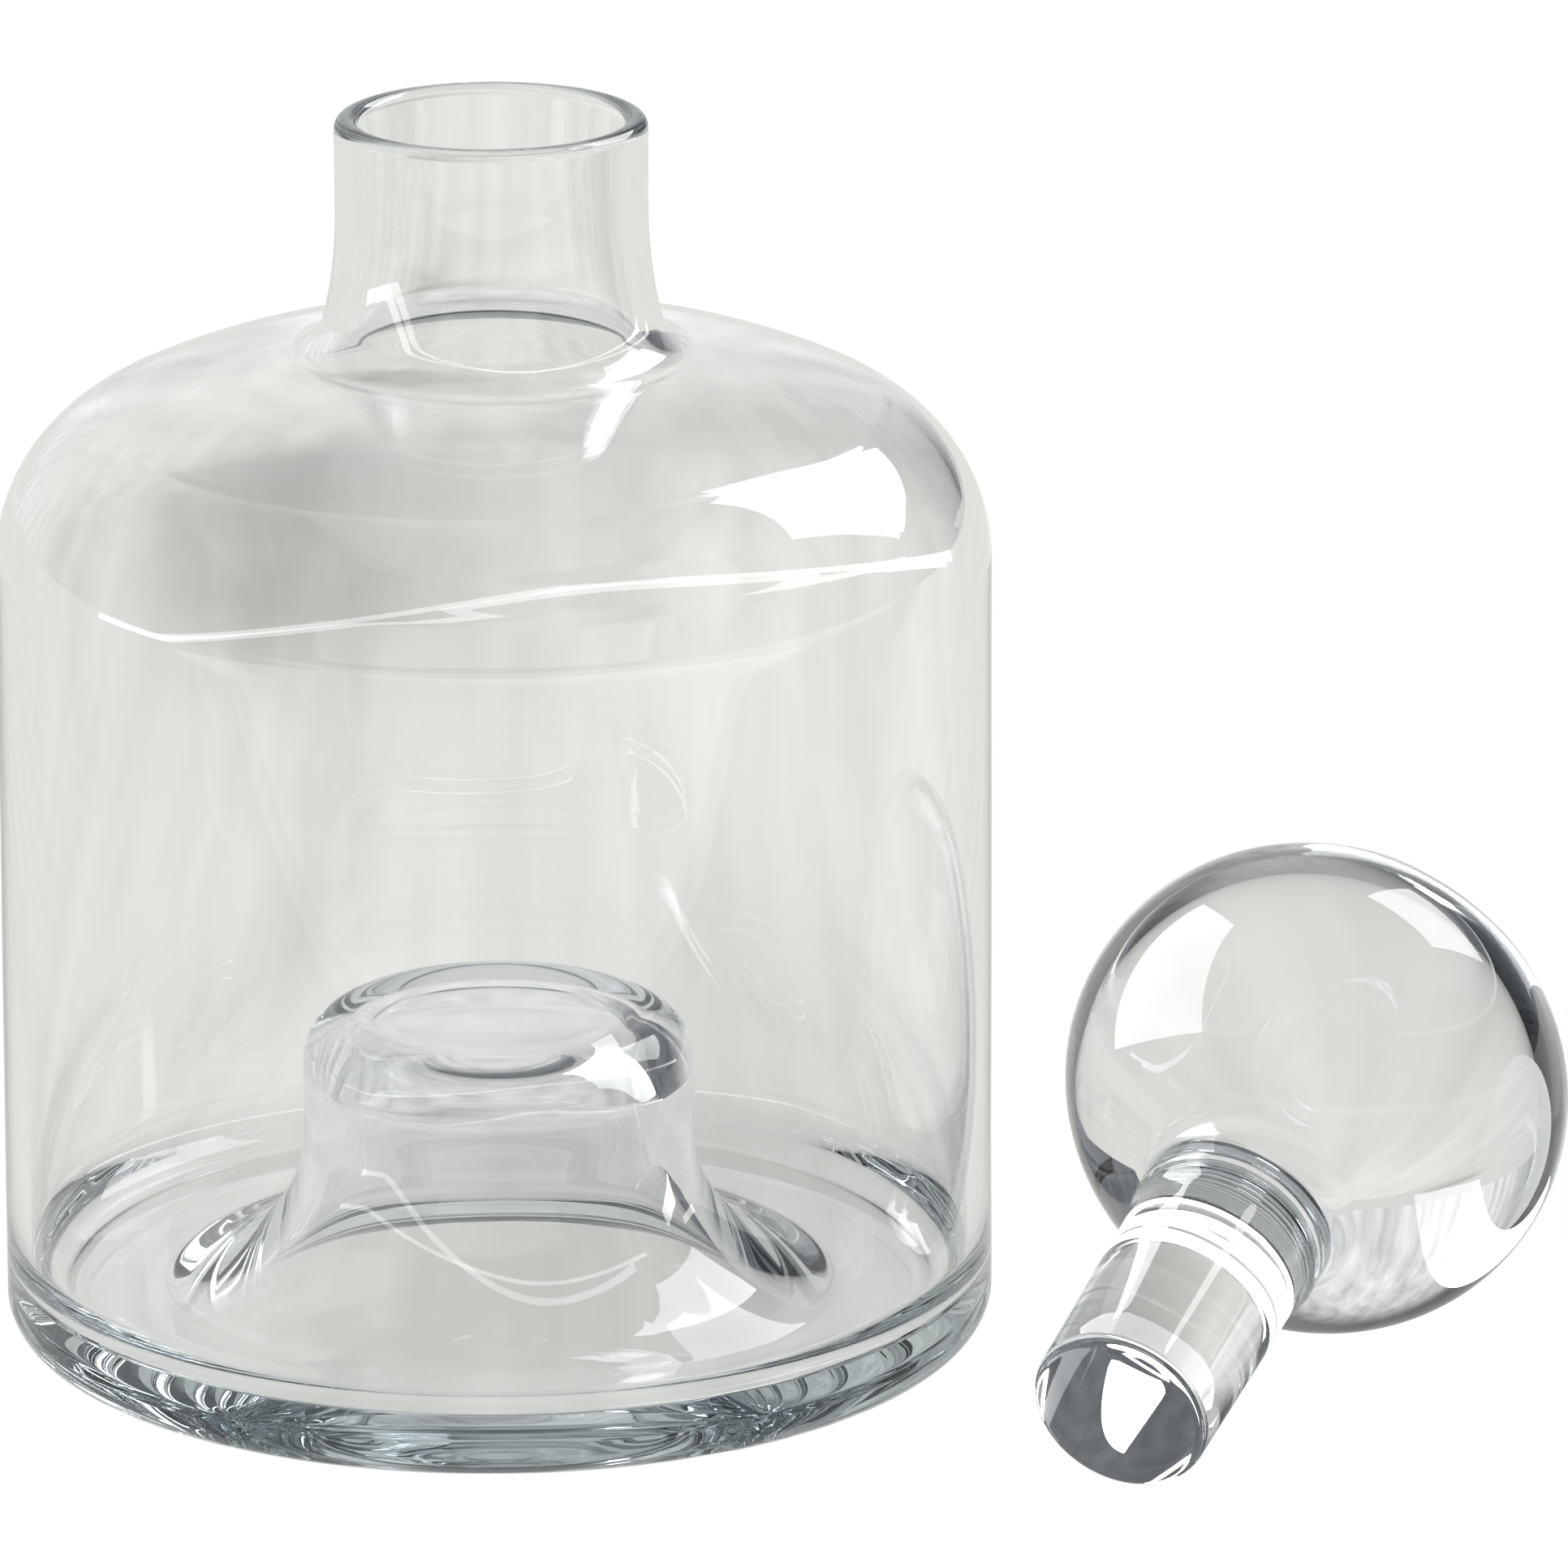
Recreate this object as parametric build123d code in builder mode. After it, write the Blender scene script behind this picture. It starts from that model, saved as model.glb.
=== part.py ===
from build123d import *
import math
import os

# Wine decanter: a clear blown glass vessel with a hollow push-up in its base,
# and its solid glass ball stopper, which lies on the table beside it.
# Units are millimetres. The origin is on the vessel's axis at table level, +Z is up.

# Vessel, outside
HEIGHT = 160.5
BODY_R = 63.5
BASE_R = 64.1
HEEL_R = 5.4
SHOULDER_EDGE = (BODY_R, 115.5)
SHOULDER_CROWN_R = 83.7
SHOULDER_CORNER_R = 22.7
NECK_R = 19.85
NECK_FOOT = (22.5, 130.9)
NECK_FOOT_R = 5.0
NECK_FLARE_TOP = 148.6
NECK_FLARE_R = 59.5

# Vessel, inside
WALL = 2.5
NECK_WALL = 3.05
LIP_R = 1.45
BORE_R = NECK_R - NECK_WALL
SHOULDER_EDGE_INSIDE = (BODY_R - WALL, 114.0)
NECK_FOOT_INSIDE = (20.2, 128.3)
FLOOR_Z = 7.0
FLOOR_CORNER_R = 7.5

# Push-up: the hollow drum of glass that stands up from the floor
DRUM_R = 25.3
DRUM_TOP = 42.0
DRUM_SHOULDER_R = 6.5
DRUM_FOOT_R = 19.0
DIMPLE_R = 16.0
DIMPLE_DEPTH = 0.7

# The same push-up seen from below
RECESS_R = 20.0
RECESS_TOP = 37.0
RECESS_CORNER_R = 5.0
RECESS_FLARE_R = 30.0
RECESS_FLARE_TOP = 29.3
RECESS_MOUTH_R = RECESS_R + RECESS_FLARE_R - math.sqrt(RECESS_FLARE_R**2 - RECESS_FLARE_TOP**2)
REST_RING_EDGE_R = 8.0

# Stopper: its ball is a little flatter along the plug
BALL_R = 32.9
BALL_HALF_HEIGHT = 29.2
BOND_DEPTH = 34.0
BOND_R = 12.9
BOSS_COVE_R = 4.0
PLUG_ROOT_DEPTH = 38.5
PLUG_ROOT_R = 12.1
PLUG_TIP_R = 11.5
PLUG_DEPTH = 70.8
PLUG_EDGE_R = 1.5
PLUG_DOME = 1.2

# Where the stopper lies: its ball's centre, and the heading of its plug from +X, in degrees
BALL_X = 105.8
BALL_Y = -4.8
PLUG_HEADING = 246.2
FIRST_GUESS_DIP = 18.0
DIP_STEPS = 40


def ball_rest_height(dip):
    """Height of the ball's centre when the ball's lowest point is on the table."""
    angle = math.radians(dip)
    return math.hypot(BALL_R * math.cos(angle), BALL_HALF_HEIGHT * math.sin(angle))


def resting_dip():
    """How far the plug dips, in degrees, with the ball and the plug's end edge on the table."""
    edge_r = PLUG_TIP_R - PLUG_EDGE_R
    dome_r = (PLUG_TIP_R**2 + PLUG_DOME**2) / (2 * PLUG_DOME)
    dome_centre_depth = PLUG_DEPTH + PLUG_DOME - dome_r
    edge_depth = dome_centre_depth + math.sqrt((dome_r - PLUG_EDGE_R) ** 2 - edge_r**2)
    dip = FIRST_GUESS_DIP
    for _ in range(DIP_STEPS):
        drop = ball_rest_height(dip) - PLUG_EDGE_R - edge_r * math.cos(math.radians(dip))
        dip = math.degrees(math.asin(drop / edge_depth))
    return dip


def round_corner(sketch, corner, radius):
    """Fillet the one corner of a profile, given by its place in the profile's own plane."""
    fillet(sketch.vertices().sort_by_distance(corner)[0], radius)


# The vessel is one blown piece: its wall, neck, heel and push-up are a single solid
with BuildPart() as vessel:
    with BuildSketch(Plane.XZ) as outside:
        with BuildLine():
            Polyline((0, HEIGHT), (0, 0), (BASE_R, 0), SHOULDER_EDGE)
            RadiusArc(SHOULDER_EDGE, NECK_FOOT, -SHOULDER_CROWN_R)
            RadiusArc(NECK_FOOT, (NECK_R, NECK_FLARE_TOP), NECK_FLARE_R)
            Polyline((NECK_R, NECK_FLARE_TOP), (NECK_R, HEIGHT), (0, HEIGHT))
        make_face()
        round_corner(outside, (BASE_R, 0), HEEL_R)
        round_corner(outside, SHOULDER_EDGE, SHOULDER_CORNER_R)
        round_corner(outside, NECK_FOOT, NECK_FOOT_R)
    revolve(axis=Axis.Z)

    with BuildSketch(Plane.XZ) as cavity:
        with BuildLine():
            TangentArc((0, DRUM_TOP - DIMPLE_DEPTH), (DIMPLE_R, DRUM_TOP), tangent=(1, 0))
            Polyline(
                (DIMPLE_R, DRUM_TOP),
                (DRUM_R, DRUM_TOP),
                (DRUM_R, FLOOR_Z),
                (BODY_R - WALL, FLOOR_Z),
                SHOULDER_EDGE_INSIDE,
            )
            RadiusArc(SHOULDER_EDGE_INSIDE, NECK_FOOT_INSIDE, -(SHOULDER_CROWN_R - WALL))
            RadiusArc(NECK_FOOT_INSIDE, (BORE_R, NECK_FLARE_TOP), NECK_FLARE_R + NECK_WALL)
            Polyline((BORE_R, NECK_FLARE_TOP), (BORE_R, HEIGHT), (0, HEIGHT))
            Line((0, HEIGHT), (0, DRUM_TOP - DIMPLE_DEPTH))
        make_face()
        round_corner(cavity, (DRUM_R, DRUM_TOP), DRUM_SHOULDER_R)
        round_corner(cavity, (DRUM_R, FLOOR_Z), DRUM_FOOT_R)
        round_corner(cavity, (BODY_R - WALL, FLOOR_Z), FLOOR_CORNER_R)
        round_corner(cavity, SHOULDER_EDGE_INSIDE, SHOULDER_CORNER_R - WALL)
        round_corner(cavity, NECK_FOOT_INSIDE, NECK_FOOT_R + NECK_WALL)
    revolve(axis=Axis.Z, mode=Mode.SUBTRACT)

    with BuildSketch(Plane.XZ) as recess:
        with BuildLine():
            Polyline((0, RECESS_TOP), (0, 0), (RECESS_MOUTH_R, 0))
            RadiusArc((RECESS_MOUTH_R, 0), (RECESS_R, RECESS_FLARE_TOP), RECESS_FLARE_R)
            Polyline((RECESS_R, RECESS_FLARE_TOP), (RECESS_R, RECESS_TOP), (0, RECESS_TOP))
        make_face()
        round_corner(recess, (RECESS_R, RECESS_TOP), RECESS_CORNER_R)
    revolve(axis=Axis.Z, mode=Mode.SUBTRACT)

    lip_edges = vessel.edges().group_by(Axis.Z)[-1]
    fillet(lip_edges, LIP_R)
    recess_mouth = vessel.edges().group_by(Axis.Z)[0].sort_by(SortBy.RADIUS)[0]
    fillet(recess_mouth, REST_RING_EDGE_R)
vessel.part.label = "vessel"

# The stopper's pieces are turned about its own axis, on a plane through the ball's centre
# whose Y runs from the plug up to the ball's crown
dip = math.radians(resting_dip())
heading = math.radians(PLUG_HEADING)
ball_centre = Vector(BALL_X, BALL_Y, ball_rest_height(math.degrees(dip)))
across = Vector(-math.sin(heading), math.cos(heading), 0)
crown = Vector(-math.cos(heading) * math.cos(dip), -math.sin(heading) * math.cos(dip), math.sin(dip))
stopper_axis = Axis(ball_centre, crown)
turning_plane = Plane(origin=ball_centre, x_dir=across, z_dir=across.cross(crown))

# Solid ball, drawn out into a short boss that the plug is fused to
with BuildPart() as stopper_ball:
    with BuildSketch(turning_plane):
        with BuildLine():
            EllipticalCenterArc((0, 0), BALL_R, BALL_HALF_HEIGHT, start_angle=-90, arc_size=180)
            Line((0, BALL_HALF_HEIGHT), (0, -BALL_HALF_HEIGHT))
        make_face()
    revolve(axis=stopper_axis)
    with BuildSketch(turning_plane):
        with Locations((BOND_R / 2, -BOND_DEPTH / 2)):
            Rectangle(BOND_R, BOND_DEPTH)
    revolve(axis=stopper_axis)
    fillet(stopper_ball.edges().filter_by(GeomType.BSPLINE), BOSS_COVE_R)
stopper_ball.part.label = "stopper_ball"

# Solid plug: a flared root, a slight taper and a domed end
with BuildPart() as stopper_plug:
    with BuildSketch(turning_plane) as plug_profile:
        with BuildLine():
            Polyline((0, -PLUG_DEPTH - PLUG_DOME), (0, -BOND_DEPTH), (BOND_R, -BOND_DEPTH))
            TangentArc((PLUG_ROOT_R, -PLUG_ROOT_DEPTH), (BOND_R, -BOND_DEPTH), tangent=(0, 1))
            Line((PLUG_ROOT_R, -PLUG_ROOT_DEPTH), (PLUG_TIP_R, -PLUG_DEPTH))
            TangentArc((0, -PLUG_DEPTH - PLUG_DOME), (PLUG_TIP_R, -PLUG_DEPTH), tangent=(1, 0))
        make_face()
        round_corner(plug_profile, (PLUG_TIP_R, -PLUG_DEPTH), PLUG_EDGE_R)
    revolve(axis=stopper_axis)
stopper_plug.part.label = "stopper_plug"

os.makedirs("parts", exist_ok=True)
export_step(vessel.part, "parts/vessel.step")
export_step(stopper_ball.part, "parts/stopper_ball.step")
export_step(stopper_plug.part, "parts/stopper_plug.step")
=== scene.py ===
import math

import bmesh
import bpy
from mathutils import Matrix, Vector, noise


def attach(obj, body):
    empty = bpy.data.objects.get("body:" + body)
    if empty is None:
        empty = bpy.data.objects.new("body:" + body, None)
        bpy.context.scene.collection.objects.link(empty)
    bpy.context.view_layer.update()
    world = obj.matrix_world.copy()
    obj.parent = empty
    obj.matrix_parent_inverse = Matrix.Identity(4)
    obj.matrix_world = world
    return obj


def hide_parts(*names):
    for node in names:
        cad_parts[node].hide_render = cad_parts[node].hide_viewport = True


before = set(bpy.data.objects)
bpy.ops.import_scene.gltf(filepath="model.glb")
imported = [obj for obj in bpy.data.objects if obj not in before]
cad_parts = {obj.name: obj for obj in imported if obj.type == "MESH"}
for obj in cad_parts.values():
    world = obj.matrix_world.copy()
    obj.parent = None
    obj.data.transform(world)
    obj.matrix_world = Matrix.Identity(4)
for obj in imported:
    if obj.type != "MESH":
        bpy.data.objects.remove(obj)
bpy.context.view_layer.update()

# Clear glass decanter with its ball stopper lying beside it. Profiles are in millimetres, as
# (radius, height) about each piece's own axis; the scene is in metres.
MM = 0.001

# Vessel, outside and inside, and the hollow push-up in its base
HEIGHT = 160.5
BODY_R = 63.5
BASE_R = 64.1
HEEL_R = 5.4
SHOULDER_EDGE = (BODY_R, 115.5)
SHOULDER_CROWN_R = 83.7
SHOULDER_CORNER_R = 22.7
NECK_R = 19.85
NECK_FOOT = (22.5, 130.9)
NECK_FOOT_R = 5.0
NECK_FLARE_TOP = 148.6
NECK_FLARE_R = 59.5
WALL = 2.5
NECK_WALL = 3.05
LIP_R = 1.45
BORE_R = NECK_R - NECK_WALL
SHOULDER_EDGE_INSIDE = (BODY_R - WALL, 114.0)
NECK_FOOT_INSIDE = (20.2, 128.3)
FLOOR_Z = 7.0
FLOOR_CORNER_R = 7.5
DRUM_R = 25.3
DRUM_TOP = 42.0
DRUM_SHOULDER_R = 6.5
DRUM_FOOT_R = 19.0
DIMPLE_R = 16.0
DIMPLE_DEPTH = 0.7
RECESS_R = 20.0
RECESS_TOP = 37.0
RECESS_CORNER_R = 5.0
RECESS_FLARE_R = 30.0
RECESS_FLARE_TOP = 29.3
RECESS_MOUTH_R = RECESS_R + RECESS_FLARE_R - math.sqrt(RECESS_FLARE_R**2 - RECESS_FLARE_TOP**2)
REST_RING_EDGE_R = 8.0

# Stopper: a ball a little flatter along the plug, a coved boss, and the plug fused to it
BALL_R = 32.9
BALL_HALF_HEIGHT = 29.2
BOND_DEPTH = 34.0
BOND_R = 12.9
BOSS_COVE_R = 4.0
CREASE = 0.14
PLUG_ROOT_DEPTH = 38.5
PLUG_ROOT_R = 12.1
PLUG_TIP_R = 11.5
PLUG_DEPTH = 70.8
PLUG_EDGE_R = 1.5
PLUG_DOME = 1.2

# Where the stopper lies
BALL_CENTRE = (105.8, -4.8, 32.563)
PLUG_DOWN = (-0.383687, -0.869935, -0.309836)

# How far the hand-blown wall wanders from true, and the radii and heights it fades over
WANDER = 0.11
WANDER_FROM_R, WANDER_R_FADE = 8, 20
WANDER_BOTTOM, WANDER_TOP, WANDER_Z_FADE = 12, 150, 12
WANDER_WAVES, WANDER_WAVE_HEIGHT = 1.3, 42
# The two faces of the wall, told apart at this radius, wander on their own
OUTER_FACE_R, INNER_FACE_SHIFT = 59, 5.0
VESSEL_SEGMENTS, STOPPER_SEGMENTS = 320, 288


# ---- profiles -------------------------------------------------------------------------------

def on_arc(centre, start, end, r):
    """Points along the shorter arc from start to end."""
    a = math.atan2(start[1] - centre[1], start[0] - centre[0])
    b = math.atan2(end[1] - centre[1], end[0] - centre[0])
    turn = (b - a + math.pi) % (2 * math.pi) - math.pi
    n = max(2, math.ceil(abs(turn) * r / 0.8), math.ceil(abs(turn) / math.radians(4)))
    return [(centre[0] + r * math.cos(a + turn * i / n), centre[1] + r * math.sin(a + turn * i / n))
            for i in range(n + 1)]


def arc(start, end, r):
    """Arc from start to end; its centre is to the left of the way there if r is positive."""
    dx, dy = end[0] - start[0], end[1] - start[1]
    half = math.hypot(dx, dy) / 2
    rise = math.copysign(math.sqrt(r * r - half * half), r)
    centre = ((start[0] + end[0]) / 2 - dy / (2 * half) * rise,
              (start[1] + end[1]) / 2 + dx / (2 * half) * rise)
    return on_arc(centre, start, end, abs(r))


def rounded(line, corner, r):
    """The polyline with its corner at that point rounded by a circle of radius r."""
    c = min(range(len(line)), key=lambda i: math.dist(line[i], corner))
    back, on = (Vector(line[c - 1]) - Vector(line[c])), (Vector(line[c + 1]) - Vector(line[c]))
    reach = 1.5 * r / math.tan(back.angle(on) / 2) + 0.2

    def walk(step):
        """Closely spaced points from the corner, each with the direction there and the vertex before it."""
        i, gone, found = c, 0.0, []
        while 0 <= i + step < len(line) and gone < reach:
            p, q = Vector(line[i]), Vector(line[i + step])
            n = max(1, math.ceil((q - p).length / 0.05))
            found += [(p.lerp(q, k / n), (q - p).normalized(), i) for k in range(n)
                      if gone + (q - p).length * k / n < reach]
            i, gone = i + step, gone + (q - p).length
        return found

    before, after = walk(-1), walk(1)
    side = 1 if back.x * on.y - back.y * on.x > 0 else -1
    best = None
    for p, d, i in before:
        centre = p + side * r * Vector((-d.y, d.x))
        q, _, j = min(after, key=lambda s: (s[0] - centre).length)
        miss = abs((q - centre).length - r)
        if best is None or miss < best[0]:
            best = (miss, centre, p, i, q, j)
    _, centre, p, i, q, j = best
    return line[:i] + on_arc(centre, p, q, r) + line[j + 1:]


def divided(line, step):
    """Long straight stretches divided evenly."""
    out = [line[0]]
    for p, q in zip(line, line[1:]):
        long = math.dist(p, q)
        if long < 1e-4:
            continue
        n = max(1, math.ceil(long / step))
        out += [(p[0] + (q[0] - p[0]) * k / n, p[1] + (q[1] - p[1]) * k / n) for k in range(1, n + 1)]
    return out


def vessel_profile():
    dimple_r = (DIMPLE_R**2 + DIMPLE_DEPTH**2) / (2 * DIMPLE_DEPTH)
    inside = arc((0, DRUM_TOP - DIMPLE_DEPTH), (DIMPLE_R, DRUM_TOP), dimple_r)
    inside += [(DRUM_R, DRUM_TOP), (DRUM_R, FLOOR_Z), (BODY_R - WALL, FLOOR_Z)]
    inside += arc(SHOULDER_EDGE_INSIDE, NECK_FOOT_INSIDE, SHOULDER_CROWN_R - WALL)
    inside += arc(NECK_FOOT_INSIDE, (BORE_R, NECK_FLARE_TOP), -(NECK_FLARE_R + NECK_WALL))[1:]
    inside += [(BORE_R, HEIGHT)]
    for corner, r in (
        ((DRUM_R, DRUM_TOP), DRUM_SHOULDER_R),
        ((DRUM_R, FLOOR_Z), DRUM_FOOT_R),
        ((BODY_R - WALL, FLOOR_Z), FLOOR_CORNER_R),
        (SHOULDER_EDGE_INSIDE, SHOULDER_CORNER_R - WALL),
        (NECK_FOOT_INSIDE, NECK_FOOT_R + NECK_WALL),
    ):
        inside = rounded(inside, corner, r)

    outside = [(NECK_R, HEIGHT), (NECK_R, NECK_FLARE_TOP)]
    outside += arc((NECK_R, NECK_FLARE_TOP), NECK_FOOT, NECK_FLARE_R)[1:]
    outside += arc(NECK_FOOT, SHOULDER_EDGE, -SHOULDER_CROWN_R)[1:]
    outside += [(BASE_R, 0), (RECESS_MOUTH_R, 0)]
    outside += arc((RECESS_MOUTH_R, 0), (RECESS_R, RECESS_FLARE_TOP), -RECESS_FLARE_R)[1:]
    outside += [(RECESS_R, RECESS_TOP), (0, RECESS_TOP)]
    line = inside + outside
    for corner, r in (
        ((BORE_R, HEIGHT), LIP_R),
        ((NECK_R, HEIGHT), LIP_R),
        (NECK_FOOT, NECK_FOOT_R),
        (SHOULDER_EDGE, SHOULDER_CORNER_R),
        ((BASE_R, 0), HEEL_R),
        ((RECESS_MOUTH_R, 0), REST_RING_EDGE_R),
        ((RECESS_R, RECESS_TOP), RECESS_CORNER_R),
    ):
        line = rounded(line, corner, r)
    return divided(line, 2.5)


def stopper_profile():
    """From the ball's crown down to the plug's end, as (radius, height along the crown's axis)."""
    ball = [(BALL_R * math.sin(math.radians(a)), BALL_HALF_HEIGHT * math.cos(math.radians(a)))
            for a in [k * 1.5 for k in range(120)] if a < 160 and
            not (a > 90 and BALL_R * math.sin(math.radians(a)) < BOND_R)]
    meet = (BOND_R, -BALL_HALF_HEIGHT * math.sqrt(1 - (BOND_R / BALL_R) ** 2))
    ball += [meet, (BOND_R, -BOND_DEPTH + CREASE), (BOND_R - CREASE, -BOND_DEPTH),
             (BOND_R, -BOND_DEPTH - CREASE)]
    ball += [(PLUG_ROOT_R + (BOND_R - PLUG_ROOT_R) * (1 - t) ** 2,
              -BOND_DEPTH - CREASE - t * (PLUG_ROOT_DEPTH - BOND_DEPTH - CREASE))
             for t in (0.2, 0.4, 0.6, 0.8, 1.0)]
    dome_r = (PLUG_TIP_R**2 + PLUG_DOME**2) / (2 * PLUG_DOME)
    ball += arc((PLUG_TIP_R, -PLUG_DEPTH), (0, -PLUG_DEPTH - PLUG_DOME), -dome_r)
    ball = rounded(ball, meet, BOSS_COVE_R)
    ball = rounded(ball, (PLUG_TIP_R, -PLUG_DEPTH), PLUG_EDGE_R)
    return divided(ball, 1.5)


# ---- meshes ---------------------------------------------------------------------------------

def lathe(name, line, segments, place, wander):
    """A closed mesh turned about its axis. wander(angle, r, z) gives how far a point stands proud, in mm."""
    line = [p for k, p in enumerate(line) if k == 0 or math.dist(p, line[k - 1]) > 0.02]
    vertices, faces, rings = [], [], []
    for r, z in line:
        if r < 1e-3:
            rings.append([len(vertices)])
            vertices.append(place @ Vector((0, 0, z * MM)))
            continue
        ring = []
        for k in range(segments):
            a = 2 * math.pi * k / segments
            rr = r + wander(a, r, z)
            ring.append(len(vertices))
            vertices.append(place @ Vector((rr * math.cos(a) * MM, rr * math.sin(a) * MM, z * MM)))
        rings.append(ring)
    for a, b in zip(rings, rings[1:]):
        for k in range(segments):
            m = (k + 1) % segments
            if len(a) == 1:
                faces.append((a[0], b[k], b[m]))
            elif len(b) == 1:
                faces.append((a[k], b[0], a[m]))
            else:
                faces.append((a[k], b[k], b[m], a[m]))
    mesh = bpy.data.meshes.new(name)
    mesh.from_pydata([tuple(v) for v in vertices], [], faces)
    shape = bmesh.new()
    shape.from_mesh(mesh)
    bmesh.ops.recalc_face_normals(shape, faces=shape.faces)
    shape.to_mesh(mesh)
    shape.free()
    mesh.polygons.foreach_set("use_smooth", [True] * len(mesh.polygons))
    mesh.update()
    piece = bpy.data.objects.new(name, mesh)
    bpy.context.scene.collection.objects.link(piece)
    return piece


def hand_blown(angle, r, z):
    """The slight unevenness that free-blown walls keep: a slow wave round and up the wall."""
    if r < WANDER_FROM_R or z < WANDER_BOTTOM or z > WANDER_TOP:
        return 0.0
    fade = min(1.0, (r - WANDER_FROM_R) / WANDER_R_FADE, (z - WANDER_BOTTOM) / WANDER_Z_FADE,
               (WANDER_TOP - z) / WANDER_Z_FADE)
    shift = 0.0 if r > OUTER_FACE_R else INNER_FACE_SHIFT
    p = Vector((WANDER_WAVES * math.cos(angle), WANDER_WAVES * math.sin(angle),
                z / WANDER_WAVE_HEIGHT + shift))
    return WANDER * fade * noise.noise(p)


def polished(angle, r, z):
    """Ground and polished true."""
    return 0.0


vessel = lathe("vessel_glass", vessel_profile(), VESSEL_SEGMENTS, Matrix.Identity(4), hand_blown)

down = Vector(PLUG_DOWN).normalized()
stopper_turn = (-down).to_track_quat("Z", "Y").to_matrix().to_4x4()
stopper_place = Matrix.Translation(Vector(BALL_CENTRE) * MM) @ stopper_turn
stopper = lathe("stopper_glass", stopper_profile(), STOPPER_SEGMENTS, stopper_place, polished)


# ---- materials ------------------------------------------------------------------------------

IOR = 1.52


def emptied(owner):
    """The nodes and links of a material or world, with nothing in them yet."""
    owner.use_nodes = True
    owner.node_tree.nodes.clear()
    return owner.node_tree.nodes, owner.node_tree.links


def ranged(nodes, low, high, to_low=0.0, to_high=1.0, smooth=False):
    """A node that takes low to high over to to_low to to_high."""
    node = nodes.new("ShaderNodeMapRange")
    if smooth:
        node.interpolation_type = "SMOOTHSTEP"
    node.inputs["From Min"].default_value = low
    node.inputs["From Max"].default_value = high
    node.inputs["To Min"].default_value = to_low
    node.inputs["To Max"].default_value = to_high
    return node


def grain(nodes, scale, detail):
    node = nodes.new("ShaderNodeTexNoise")
    node.inputs["Scale"].default_value = scale
    node.inputs["Detail"].default_value = detail
    return node


def stretched(nodes, scale):
    node = nodes.new("ShaderNodeMapping")
    node.inputs["Scale"].default_value = scale
    return node


def glass(name, absorb, density, striae, waves, smear):
    """Clear glass with soft striae and cords in its surface, and a trace of handling haze."""
    clear = bpy.data.materials.new(name)
    nodes, links = emptied(clear)
    out = nodes.new("ShaderNodeOutputMaterial")
    skin = nodes.new("ShaderNodeBsdfPrincipled")
    skin.inputs["Base Color"].default_value = (1, 1, 1, 1)
    skin.inputs["Transmission Weight"].default_value = 1.0
    skin.inputs["IOR"].default_value = IOR
    where = nodes.new("ShaderNodeTexCoord")
    stretch = stretched(nodes, (1.0, 1.0, 0.35))
    cords = grain(nodes, striae, 2.0)
    cords.inputs["Distortion"].default_value = 0.6
    bump = nodes.new("ShaderNodeBump")
    bump.inputs["Strength"].default_value = 0.35
    bump.inputs["Distance"].default_value = waves
    links.new(where.outputs["Object"], stretch.inputs["Vector"])
    links.new(stretch.outputs["Vector"], cords.inputs["Vector"])
    links.new(cords.outputs["Fac"], bump.inputs["Height"])
    links.new(bump.outputs["Normal"], skin.inputs["Normal"])
    haze = grain(nodes, 90.0, 4.0)
    smears = ranged(nodes, 0.45, 0.85, 0.0, smear)
    links.new(where.outputs["Object"], haze.inputs["Vector"])
    links.new(haze.outputs["Fac"], smears.inputs["Value"])
    links.new(smears.outputs["Result"], skin.inputs["Roughness"])
    body = nodes.new("ShaderNodeVolumeAbsorption")
    body.inputs["Color"].default_value = (*absorb, 1)
    body.inputs["Density"].default_value = density
    links.new(skin.outputs["BSDF"], out.inputs["Surface"])
    links.new(body.outputs["Volume"], out.inputs["Volume"])
    return clear


vessel.data.materials.append(glass("vessel_glass_clear", absorb=(0.70, 0.745, 0.765), density=21.0,
                                   striae=26.0, waves=0.00002, smear=0.02))
stopper.data.materials.append(glass("stopper_glass_clear", absorb=(0.72, 0.78, 0.82), density=3.0,
                                    striae=18.0, waves=0.000008, smear=0.015))

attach(vessel, "vessel")
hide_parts("vessel")
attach(stopper, "stopper")
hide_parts("stopper_ball", "stopper_plug")


# ---- floor and studio -----------------------------------------------------------------------

# The floor and the background are white to the camera. The glass sees a grey sweep and a studio.
WHITE = (1.0, 1.0, 1.0, 1)
FLOOR_HALF = 6.0
FLOOR_DROP = 0.0002
# For the glass the sweep carries painted shade: dark in front, lightening from front to back, along a line
# skewed to the camera
SWEEP_NEAR = (0.13, 0.14, 0.15, 1)
SWEEP_FAR = (0.775, 0.785, 0.745, 1)
SWEEP_FRONT, SWEEP_BACK = -0.17, -0.06
SWEEP_SKEW = -0.5
# Far in front of the object the painted shade lifts and the sweep is light again
SWEEP_OPEN, SWEEP_OPEN_FULL, SWEEP_OPEN_LIGHT = -0.45, -1.1, 0.85
STREAKS_PER_METRE = 75.0
STREAK_DEPTH = 0.08
# Painted shadows and painted light on the sweep, seen only by the glass: a soft shadow behind on the left, a
# contact shadow under the vessel, a painted dark place in front of the ball and a painted lighter place
# behind on the right: (x, y, half width, half depth, light left there)
PAINTED_SHADOWS_AND_LIGHT = (
    (-0.052, 0.42, 0.040, 0.150, 0.76),
    (0.0, 0.0, 0.078, 0.078, 0.86),
    (0.185, -0.085, 0.140, 0.120, 0.05),
    (0.070, 0.34, 0.070, 0.26, 1.14),
)
SHADE_CORE, SHADE_EDGE = 0.45, 1.15
# A noise node's output is spread over these values
NOISE_LOW, NOISE_HIGH = 0.3, 0.7


def towards(azimuth, elevation):
    """Direction from the object: azimuth from +X towards +Y, elevation above the table, in degrees."""
    a, e = math.radians(azimuth), math.radians(elevation)
    return Vector((math.cos(a) * math.cos(e), math.sin(a) * math.cos(e), math.sin(e)))


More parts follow.
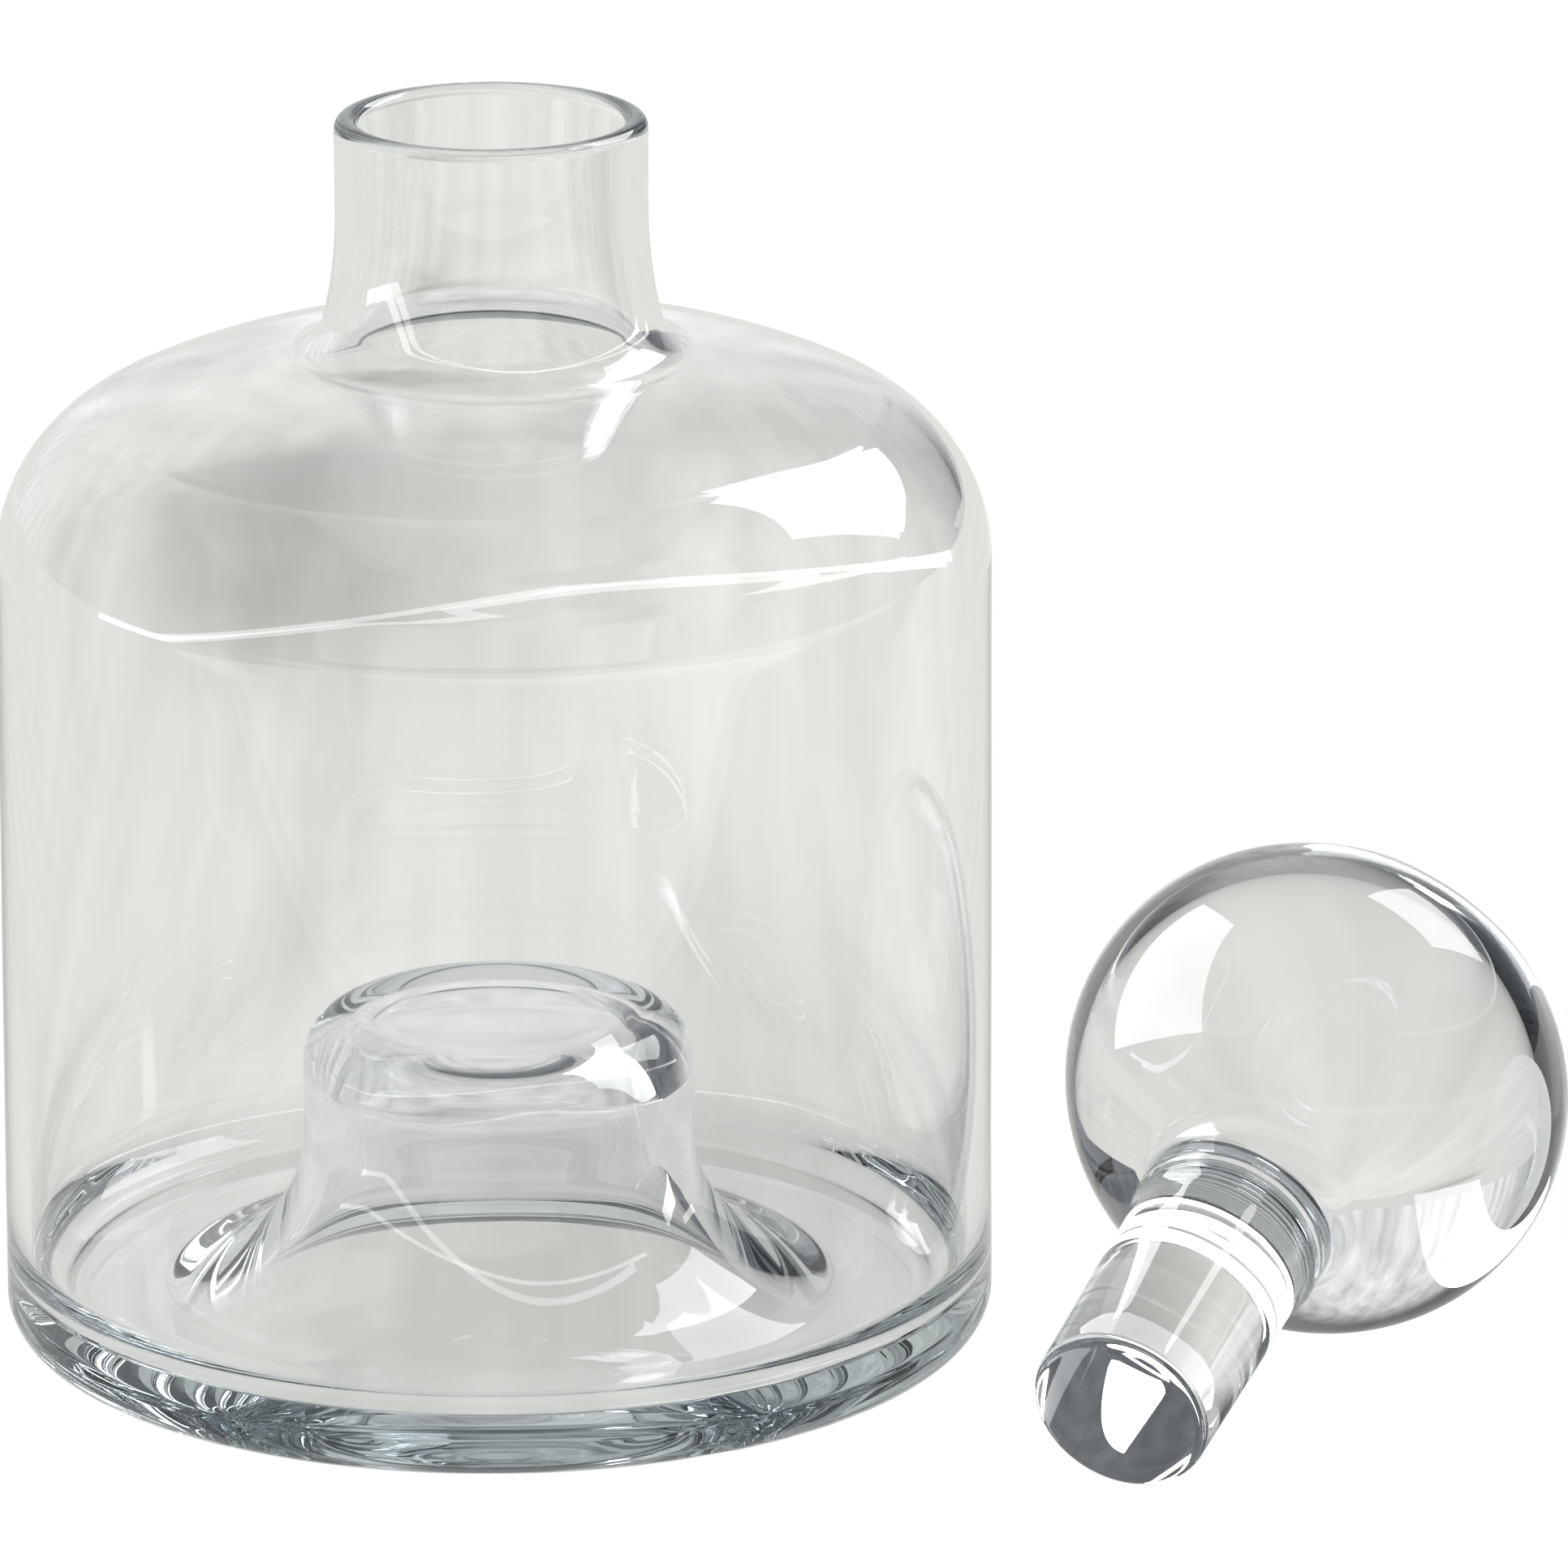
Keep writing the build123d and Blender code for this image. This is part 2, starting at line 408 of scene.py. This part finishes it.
def white_to_camera(nodes, links, colour):
    """White for the camera's own rays, and the colour for everything else."""
    seen = nodes.new("ShaderNodeLightPath")
    pick = nodes.new("ShaderNodeMix")
    pick.data_type = "RGBA"
    pick.inputs["B"].default_value = WHITE
    links.new(colour, pick.inputs["A"])
    links.new(seen.outputs["Is Camera Ray"], pick.inputs["Factor"])
    return pick.outputs["Result"]


def dimmed(nodes, links, colour, factor):
    dim = nodes.new("ShaderNodeVectorMath")
    dim.operation = "SCALE"
    links.new(colour, dim.inputs[0])
    links.new(factor, dim.inputs["Scale"])
    return dim.outputs["Vector"]


def sweep_material():
    white = bpy.data.materials.new("floor_white")
    nodes, links = emptied(white)
    out = nodes.new("ShaderNodeOutputMaterial")
    glow = nodes.new("ShaderNodeEmission")
    place = nodes.new("ShaderNodeTexCoord")
    xyz = nodes.new("ShaderNodeSeparateXYZ")
    slant = nodes.new("ShaderNodeMath")
    slant.operation = "MULTIPLY_ADD"
    slant.inputs[1].default_value = SWEEP_SKEW
    # Painted shade on the sweep: dark near the front, light behind and far in front
    behind = ranged(nodes, SWEEP_FRONT, SWEEP_BACK, smooth=True)
    front = ranged(nodes, SWEEP_OPEN, SWEEP_OPEN_FULL, to_high=SWEEP_OPEN_LIGHT, smooth=True)
    either = nodes.new("ShaderNodeMath")
    either.operation = "MAXIMUM"
    sweep = nodes.new("ShaderNodeMix")
    sweep.data_type = "RGBA"
    sweep.inputs["A"].default_value = SWEEP_NEAR
    sweep.inputs["B"].default_value = SWEEP_FAR
    links.new(place.outputs["Object"], xyz.inputs["Vector"])
    links.new(xyz.outputs["X"], slant.inputs[0])
    links.new(xyz.outputs["Y"], slant.inputs[2])
    links.new(slant.outputs["Value"], behind.inputs["Value"])
    links.new(slant.outputs["Value"], front.inputs["Value"])
    links.new(behind.outputs["Result"], either.inputs[0])
    links.new(front.outputs["Result"], either.inputs[1])
    links.new(either.outputs["Value"], sweep.inputs["Factor"])
    colour = sweep.outputs["Result"]
    # Painted shadows and painted light, each a soft ellipse that scales the sweep's colour
    for x, y, wide, deep, left in PAINTED_SHADOWS_AND_LIGHT:
        over = stretched(nodes, (1 / wide, 1 / deep, 1))
        over.inputs["Location"].default_value = (-x / wide, -y / deep, 0)
        away = nodes.new("ShaderNodeVectorMath")
        away.operation = "LENGTH"
        fade = ranged(nodes, SHADE_CORE, SHADE_EDGE, left, 1.0, smooth=True)
        links.new(place.outputs["Object"], over.inputs["Vector"])
        links.new(over.outputs["Vector"], away.inputs[0])
        links.new(away.outputs["Value"], fade.inputs["Value"])
        colour = dimmed(nodes, links, colour, fade.outputs["Result"])
    # Fine streaks that run away from the camera
    brushed = stretched(nodes, (1, 0.05, 1))
    streaks = grain(nodes, STREAKS_PER_METRE, 3.0)
    faint = ranged(nodes, NOISE_LOW, NOISE_HIGH, 1 - STREAK_DEPTH, 1 + STREAK_DEPTH)
    links.new(place.outputs["Object"], brushed.inputs["Vector"])
    links.new(brushed.outputs["Vector"], streaks.inputs["Vector"])
    links.new(streaks.outputs["Fac"], faint.inputs["Value"])
    colour = dimmed(nodes, links, colour, faint.outputs["Result"])
    links.new(white_to_camera(nodes, links, colour), glow.inputs["Color"])
    links.new(glow.outputs["Emission"], out.inputs["Surface"])
    return white


floor_mesh = bpy.data.meshes.new("floor")
corners = ((-1, -1), (1, -1), (1, 1), (-1, 1))
floor_mesh.from_pydata([(x * FLOOR_HALF, y * FLOOR_HALF, -FLOOR_DROP) for x, y in corners], [],
                       [(0, 1, 2, 3)])
floor_mesh.materials.append(sweep_material())
floor = bpy.data.objects.new("floor", floor_mesh)
bpy.context.scene.collection.objects.link(floor)

# The studio round the table, as what the glass sees: (azimuth, elevation, core, edge, colour)
STUDIO_SIDES = (0.15, 0.16, 0.175, 1)
STUDIO = (
    ("bright sweep behind", 110, 6, 22, 46, (0.93, 0.935, 0.92, 1)),
    ("grey wall on the left", 182, 20, 18, 52, (0.50, 0.52, 0.53, 1)),
    ("dark ceiling", 90, 90, 20, 44, (0.05, 0.055, 0.065, 1)),
    ("dark room behind the camera", 250, 4, 32, 46, (0.012, 0.014, 0.018, 1)),
    ("black flag, upper left", 226, 42, 14, 28, (0.02, 0.022, 0.026, 1)),
)
FOLDS_SCALE = 22.0
FOLDS = 0.30


def studio_world():
    world = bpy.data.worlds.new("studio")
    nodes, links = emptied(world)
    out = nodes.new("ShaderNodeOutputWorld")
    room = nodes.new("ShaderNodeBackground")
    place = nodes.new("ShaderNodeTexCoord")
    colour = None
    for label, azimuth, elevation, core, edge, shade in STUDIO:
        dot = nodes.new("ShaderNodeVectorMath")
        dot.operation = "DOT_PRODUCT"
        dot.inputs[1].default_value = towards(azimuth, elevation)
        ramp = ranged(nodes, math.cos(math.radians(edge)), math.cos(math.radians(core)), smooth=True)
        lay = nodes.new("ShaderNodeMix")
        lay.data_type = "RGBA"
        lay.label = label
        lay.inputs["A"].default_value = STUDIO_SIDES
        lay.inputs["B"].default_value = shade
        links.new(place.outputs["Generated"], dot.inputs[0])
        links.new(dot.outputs["Value"], ramp.inputs["Value"])
        links.new(ramp.outputs["Result"], lay.inputs["Factor"])
        if colour:
            links.new(colour, lay.inputs["A"])
        colour = lay.outputs["Result"]
    # Upright folds in the cloth round the set
    upright = stretched(nodes, (1, 1, 0.06))
    folds = grain(nodes, FOLDS_SCALE, 3.0)
    light = ranged(nodes, NOISE_LOW, NOISE_HIGH, 1 - FOLDS, 1 + FOLDS * 0.5)
    seen = nodes.new("ShaderNodeLightPath")
    strength = nodes.new("ShaderNodeMix")
    strength.inputs["B"].default_value = 1.0
    links.new(place.outputs["Generated"], upright.inputs["Vector"])
    links.new(upright.outputs["Vector"], folds.inputs["Vector"])
    links.new(folds.outputs["Fac"], light.inputs["Value"])
    links.new(light.outputs["Result"], strength.inputs["A"])
    links.new(seen.outputs["Is Camera Ray"], strength.inputs["Factor"])
    links.new(white_to_camera(nodes, links, colour), room.inputs["Color"])
    links.new(strength.outputs["Result"], room.inputs["Strength"])
    links.new(room.outputs["Background"], out.inputs["Surface"])
    return world


bpy.context.scene.world = studio_world()


def lit_by(name, piece):
    """A collection that keeps a light to one piece."""
    group = bpy.data.collections.new(name + "_lights")
    group.objects.link(piece)
    return group


def softbox(name, place, facing, width, height, radiance, only, roll=0.0):
    """A rectangular studio light, unseen by the camera, that lights one piece only."""
    data = bpy.data.lights.new(name, "AREA")
    data.shape = "RECTANGLE"
    data.size, data.size_y = width, height
    data.energy = radiance * math.pi * width * height
    lamp = bpy.data.objects.new(name, data)
    bpy.context.scene.collection.objects.link(lamp)
    turn = Matrix.Rotation(math.radians(roll), 3, "Z").to_quaternion()
    lamp.rotation_mode = "QUATERNION"
    lamp.rotation_quaternion = Vector(facing).to_track_quat("-Z", "Y") @ turn
    lamp.location = place
    lamp.visible_camera = False
    lamp.light_linking.receiver_collection = lit_by(name, only)


MIDDLE = Vector((0.04, 0, 0.08))
KEY_REACH, FILL_REACH = 1.3, 1.7
softbox("softbox_key", MIDDLE + KEY_REACH * towards(41, 39), -towards(41, 39),
        width=0.80, height=0.72, radiance=5.5, roll=18, only=vessel)
softbox("softbox_ball", MIDDLE + KEY_REACH * towards(40, 40), -towards(40, 40),
        width=0.66, height=0.59, radiance=5.0, roll=18, only=stopper)
softbox("fill_table", (0, -0.80, 0.001), (0, 0, 1), width=1.8, height=1.15, radiance=0.75, only=vessel)
softbox("fill_front", MIDDLE + FILL_REACH * towards(268, 17), -towards(268, 17),
        width=2.6, height=0.85, radiance=0.75, only=vessel)
softbox("card_left", (0.0685, -0.0112, 0.0722), (1, 0, 0),
        width=0.0267, height=0.0547, radiance=5.5, roll=32.7, only=stopper)

# A bent light tube that arches over the camera from left to right, a thin bright line in the vessel.
# Azimuths of its ends and its top, in degrees, and the top's elevation
TUBE_FROM, TUBE_TO, TUBE_TOP, TUBE_RISE = 172, 400, 297, 52
TUBE_FALL, TUBE_FALL_POWER, TUBE_LOWEST = 0.82, 1.3, 0.04
TUBE_REACH, TUBE_WIDTH = 1.5, 0.085
TUBE_STEPS = 48
TUBE_GLOW = 5.0


def light_tube():
    """The tube as a glowing ribbon that faces the object."""
    ribbon, faces = [], []
    for k in range(TUBE_STEPS + 1):
        azimuth = TUBE_FROM + (TUBE_TO - TUBE_FROM) * k / TUBE_STEPS
        fall = max(TUBE_LOWEST, math.cos(math.radians(TUBE_FALL * (azimuth - TUBE_TOP))))
        way = towards(azimuth, TUBE_RISE * fall ** TUBE_FALL_POWER)
        across = Vector((0, 0, 1)).cross(way).normalized().cross(way).normalized()
        for side in (-0.5, 0.5):
            ribbon.append(tuple(way * TUBE_REACH + across * side * TUBE_WIDTH))
        if k:
            faces.append((2 * k - 2, 2 * k - 1, 2 * k + 1, 2 * k))
    mesh = bpy.data.meshes.new("light_tube")
    mesh.from_pydata(ribbon, [], faces)
    lit = bpy.data.materials.new("light_tube_glow")
    nodes, links = emptied(lit)
    out = nodes.new("ShaderNodeOutputMaterial")
    glow = nodes.new("ShaderNodeEmission")
    glow.inputs["Strength"].default_value = TUBE_GLOW
    links.new(glow.outputs["Emission"], out.inputs["Surface"])
    mesh.materials.append(lit)
    tube = bpy.data.objects.new("light_tube", mesh)
    bpy.context.scene.collection.objects.link(tube)
    tube.visible_camera = False
    tube.light_linking.receiver_collection = lit_by("light_tube", vessel)
    return tube


light_tube()


# ---- camera ---------------------------------------------------------------------------------

scene = bpy.context.scene
scene.view_settings.view_transform = "Standard"
# Fewer bounces leave black arcs at the lip, neck and heel, where light runs along inside the glass
scene.cycles.max_bounces = 64
scene.cycles.transmission_bounces = 64
scene.cycles.transparent_max_bounces = 8
scene.cycles.glossy_bounces = 32
scene.cycles.use_denoising = True
scene.cycles.sample_clamp_indirect = 6.0

# The camera looks along +Y and a little down, from a distance, through a long lens
CAMERA_TARGET = Vector((0.03701, 0, 0.07224))
CAMERA_DISTANCE = 1.40125
CAMERA_ELEVATION = math.radians(16.97)
CAMERA_LENS = 250.1
camera = bpy.data.objects.new("camera", bpy.data.cameras.new("camera"))
scene.collection.objects.link(camera)
back = Vector((0, -math.cos(CAMERA_ELEVATION), math.sin(CAMERA_ELEVATION)))
camera.location = CAMERA_TARGET + back * CAMERA_DISTANCE
camera.rotation_mode = "QUATERNION"
camera.rotation_quaternion = (-back).to_track_quat("-Z", "Y")
camera.data.sensor_width = 36.0
camera.data.lens = CAMERA_LENS
camera.data.clip_start, camera.data.clip_end = 0.05, 50.0
scene.camera = camera
